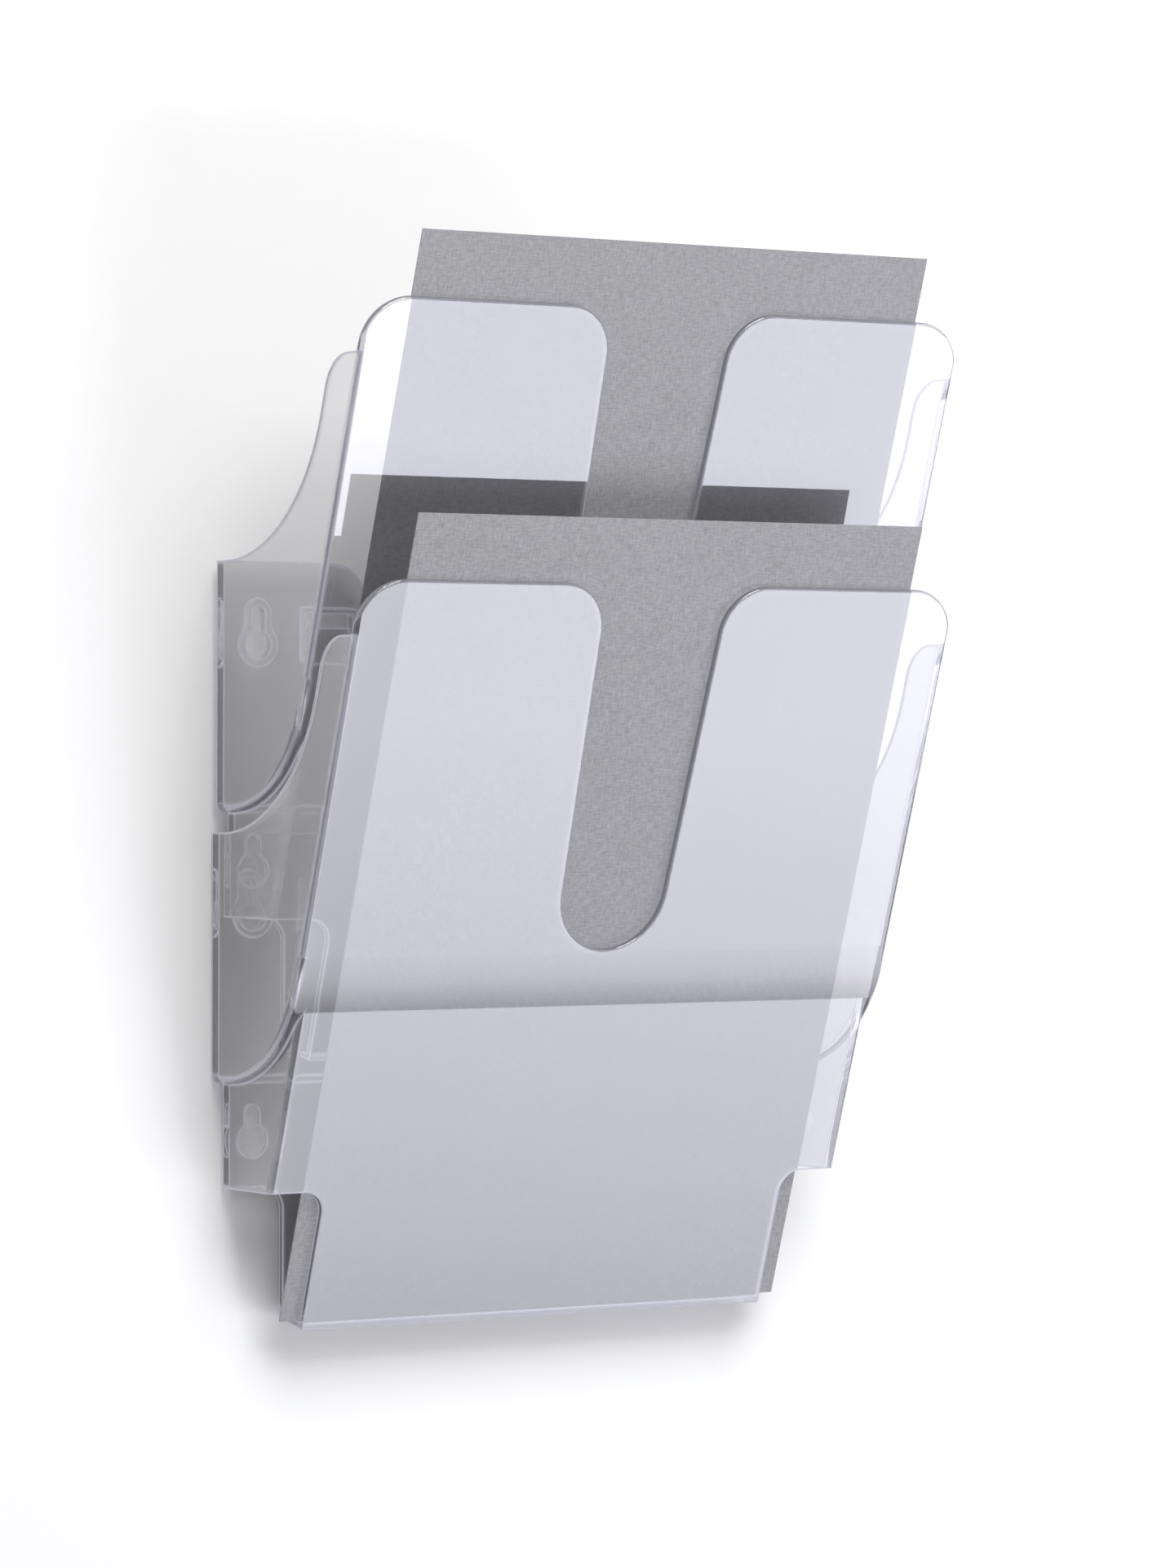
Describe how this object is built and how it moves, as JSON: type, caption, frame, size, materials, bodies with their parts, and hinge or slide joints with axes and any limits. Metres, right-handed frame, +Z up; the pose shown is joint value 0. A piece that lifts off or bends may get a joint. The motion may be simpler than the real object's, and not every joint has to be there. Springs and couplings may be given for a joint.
{
  "type": "wall leaflet holder",
  "caption": "Clear wall-mounted leaflet holder: tilted moulded pockets clipped one above the other, each holding an upright A4 sheet.",
  "frame": {"origin": "middle of the lower pocket's pair of wall screw keyholes, on the wall plane", "axes": "+Z up, +Y into the wall, +X to the right seen from the room"},
  "size_m": [0.248, 0.1124, 0.3805],
  "materials": {
    "clear_plastic": "clear, polished",
    "card": "matt, fine linen grain"
  },
  "bodies": {
    "holder": {"upper_pocket": "clear_plastic", "lower_pocket": "clear_plastic"},
    "upper_leaf": {"upper_sheet": "card"},
    "lower_leaf": {"lower_sheet": "card"}
  },
  "joints": [
    {"name": "upper_sheet_slide", "type": "slide", "parent": "holder", "child": "upper_leaf", "axis": [0, -0.3123, 0.95], "range_m": [0, 0.24]},
    {"name": "lower_sheet_slide", "type": "slide", "parent": "holder", "child": "lower_leaf", "axis": [0, -0.3123, 0.95], "range_m": [0, 0.24]}
  ]
}
